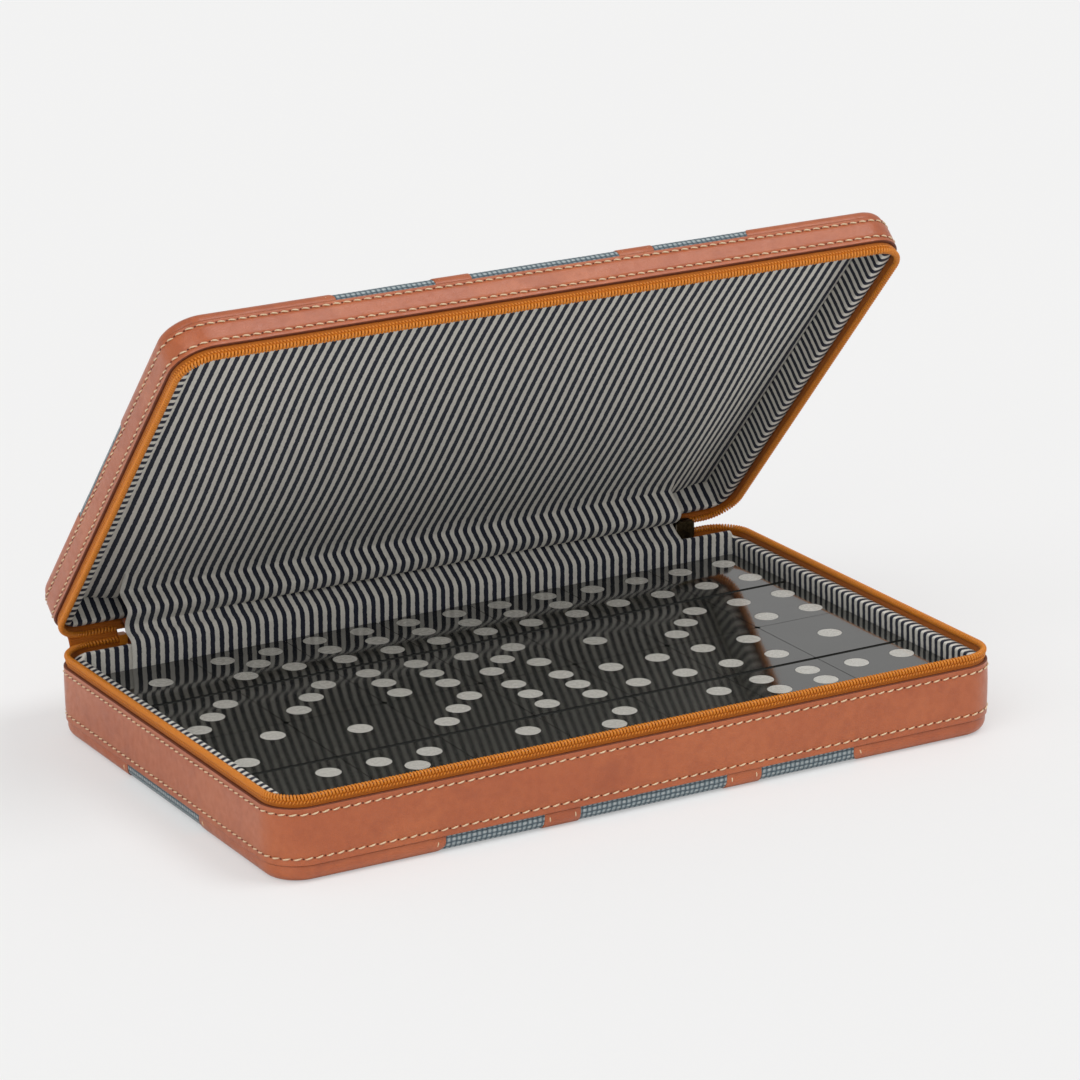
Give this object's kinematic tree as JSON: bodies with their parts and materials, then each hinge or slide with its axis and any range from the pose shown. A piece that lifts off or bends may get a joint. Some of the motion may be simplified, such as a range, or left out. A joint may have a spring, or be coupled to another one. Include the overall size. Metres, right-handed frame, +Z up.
{
  "type": "domino storage box",
  "caption": "Zip-around leather case with a striped lining, a lid on a soft hinge, and a set of large dominoes lying in two layers.",
  "frame": {"origin": "middle of the tray's underside, on the surface that the case rests on", "axes": "+X to the right along the long side, +Y towards the hinge, +Z up"},
  "size_m": [0.37, 0.2522, 0.2282],
  "materials": {
    "leather": "grained, satin",
    "woven_cloth": "basket weave",
    "board": "pressed fibre board",
    "zip": "woven tape and nylon coil",
    "zip_metal": "dark bronze",
    "striped_lining": "ticking stripes, navy and cream",
    "domino_acrylic": "polished"
  },
  "bodies": {
    "tray": {"tray_board": "board", "tray_cloth": "woven_cloth", "tray_band": "leather", "tray_zip_tape": "zip", "tray_zip_coil": "zip", "tray_wall_lining": "striped_lining", "tray_floor_lining": "striped_lining", "tray_strap_left": "leather", "tray_strap_right": "leather", "tray_corner_front_left": "leather", "tray_corner_front_right": "leather", "tray_corner_back_left": "leather", "tray_corner_back_right": "leather", "hinge_spine": "leather", "hinge_lining": "striped_lining", "zip_slider": "zip_metal", "zip_stop": "zip_metal"},
    "lid": {"lid_board": "board", "lid_cloth": "woven_cloth", "lid_band": "leather", "lid_zip_tape": "zip", "lid_zip_coil": "zip", "lid_wall_lining": "striped_lining", "lid_padded_lining": "striped_lining", "lid_strap_left": "leather", "lid_strap_right": "leather", "lid_corner_front_left": "leather", "lid_corner_front_right": "leather", "lid_corner_back_left": "leather", "lid_corner_back_right": "leather"},
    "zip_pull": {"zip_pull": "zip_metal"},
    "domino_1_3": {"domino_1_3": "domino_acrylic"},
    "domino_5_3": {"domino_5_3": "domino_acrylic"},
    "domino_6_6": {"domino_6_6": "domino_acrylic"},
    "domino_6_5": {"domino_6_5": "domino_acrylic"},
    "domino_6_1": {"domino_6_1": "domino_acrylic"},
    "domino_4_3": {"domino_4_3": "domino_acrylic"},
    "domino_4_4": {"domino_4_4": "domino_acrylic"},
    "domino_2_2": {"domino_2_2": "domino_acrylic"},
    "domino_1_5": {"domino_1_5": "domino_acrylic"},
    "domino_3_2": {"domino_3_2": "domino_acrylic"},
    "domino_6_3": {"domino_6_3": "domino_acrylic"},
    "domino_4_2": {"domino_4_2": "domino_acrylic"},
    "domino_4_6": {"domino_4_6": "domino_acrylic"},
    "domino_1_4": {"domino_1_4": "domino_acrylic"},
    "domino_0_0": {"domino_0_0": "domino_acrylic"},
    "domino_0_1": {"domino_0_1": "domino_acrylic"},
    "domino_0_2": {"domino_0_2": "domino_acrylic"},
    "domino_0_3": {"domino_0_3": "domino_acrylic"},
    "domino_0_4": {"domino_0_4": "domino_acrylic"},
    "domino_0_5": {"domino_0_5": "domino_acrylic"},
    "domino_0_6": {"domino_0_6": "domino_acrylic"},
    "domino_1_1": {"domino_1_1": "domino_acrylic"},
    "domino_1_2": {"domino_1_2": "domino_acrylic"},
    "domino_2_5": {"domino_2_5": "domino_acrylic"},
    "domino_2_6": {"domino_2_6": "domino_acrylic"},
    "domino_3_3": {"domino_3_3": "domino_acrylic"},
    "domino_4_5": {"domino_4_5": "domino_acrylic"},
    "domino_5_5": {"domino_5_5": "domino_acrylic"}
  },
  "joints": [
    {"name": "lid_hinge", "type": "hinge", "parent": "tray", "child": "lid", "pos_m": [0, 0.11847, 0.0404], "axis": [-1, 0, 0], "range_deg": [-47.1, 115], "deforming": ["hinge_spine", "hinge_lining"]},
    {"name": "pull_hinge", "type": "hinge", "parent": "tray", "child": "zip_pull", "pos_m": [0.155, 0.12047, 0.0404], "axis": [1, 0, 0], "range_deg": [0, 130]},
    {"name": "lift_0_0", "type": "slide", "parent": "tray", "child": "domino_0_0", "axis": [0, 0, 1], "range_m": [0, 0.0113]},
    {"name": "lift_0_1", "type": "slide", "parent": "tray", "child": "domino_0_1", "axis": [0, 0, 1], "range_m": [0, 0.0113]},
    {"name": "lift_0_2", "type": "slide", "parent": "tray", "child": "domino_0_2", "axis": [0, 0, 1], "range_m": [0, 0.0113]},
    {"name": "lift_0_3", "type": "slide", "parent": "tray", "child": "domino_0_3", "axis": [0, 0, 1], "range_m": [0, 0.0113]},
    {"name": "lift_0_4", "type": "slide", "parent": "tray", "child": "domino_0_4", "axis": [0, 0, 1], "range_m": [0, 0.0113]},
    {"name": "lift_0_5", "type": "slide", "parent": "tray", "child": "domino_0_5", "axis": [0, 0, 1], "range_m": [0, 0.0113]},
    {"name": "lift_0_6", "type": "slide", "parent": "tray", "child": "domino_0_6", "axis": [0, 0, 1], "range_m": [0, 0.0113]},
    {"name": "lift_1_1", "type": "slide", "parent": "tray", "child": "domino_1_1", "axis": [0, 0, 1], "range_m": [0, 0.0113]},
    {"name": "lift_1_2", "type": "slide", "parent": "tray", "child": "domino_1_2", "axis": [0, 0, 1], "range_m": [0, 0.0113]},
    {"name": "lift_2_5", "type": "slide", "parent": "tray", "child": "domino_2_5", "axis": [0, 0, 1], "range_m": [0, 0.0113]},
    {"name": "lift_2_6", "type": "slide", "parent": "tray", "child": "domino_2_6", "axis": [0, 0, 1], "range_m": [0, 0.0113]},
    {"name": "lift_3_3", "type": "slide", "parent": "tray", "child": "domino_3_3", "axis": [0, 0, 1], "range_m": [0, 0.0113]},
    {"name": "lift_4_5", "type": "slide", "parent": "tray", "child": "domino_4_5", "axis": [0, 0, 1], "range_m": [0, 0.0113]},
    {"name": "lift_5_5", "type": "slide", "parent": "tray", "child": "domino_5_5", "axis": [0, 0, 1], "range_m": [0, 0.0113]},
    {"name": "lift_1_3", "type": "slide", "parent": "domino_0_0", "child": "domino_1_3", "axis": [0, 0, 1], "range_m": [0, 0.024]},
    {"name": "lift_5_3", "type": "slide", "parent": "domino_0_1", "child": "domino_5_3", "axis": [0, 0, 1], "range_m": [0, 0.024]},
    {"name": "lift_6_6", "type": "slide", "parent": "domino_0_2", "child": "domino_6_6", "axis": [0, 0, 1], "range_m": [0, 0.024]},
    {"name": "lift_6_5", "type": "slide", "parent": "domino_0_3", "child": "domino_6_5", "axis": [0, 0, 1], "range_m": [0, 0.024]},
    {"name": "lift_6_1", "type": "slide", "parent": "domino_0_4", "child": "domino_6_1", "axis": [0, 0, 1], "range_m": [0, 0.024]},
    {"name": "lift_4_3", "type": "slide", "parent": "domino_0_5", "child": "domino_4_3", "axis": [0, 0, 1], "range_m": [0, 0.024]},
    {"name": "lift_4_4", "type": "slide", "parent": "domino_0_6", "child": "domino_4_4", "axis": [0, 0, 1], "range_m": [0, 0.024]},
    {"name": "lift_2_2", "type": "slide", "parent": "domino_1_1", "child": "domino_2_2", "axis": [0, 0, 1], "range_m": [0, 0.024]},
    {"name": "lift_1_5", "type": "slide", "parent": "domino_1_2", "child": "domino_1_5", "axis": [0, 0, 1], "range_m": [0, 0.024]},
    {"name": "lift_3_2", "type": "slide", "parent": "domino_2_5", "child": "domino_3_2", "axis": [0, 0, 1], "range_m": [0, 0.024]},
    {"name": "lift_6_3", "type": "slide", "parent": "domino_2_6", "child": "domino_6_3", "axis": [0, 0, 1], "range_m": [0, 0.024]},
    {"name": "lift_4_2", "type": "slide", "parent": "domino_3_3", "child": "domino_4_2", "axis": [0, 0, 1], "range_m": [0, 0.024]},
    {"name": "lift_4_6", "type": "slide", "parent": "domino_4_5", "child": "domino_4_6", "axis": [0, 0, 1], "range_m": [0, 0.024]},
    {"name": "lift_1_4", "type": "slide", "parent": "domino_5_5", "child": "domino_1_4", "axis": [0, 0, 1], "range_m": [0, 0.024]}
  ]
}
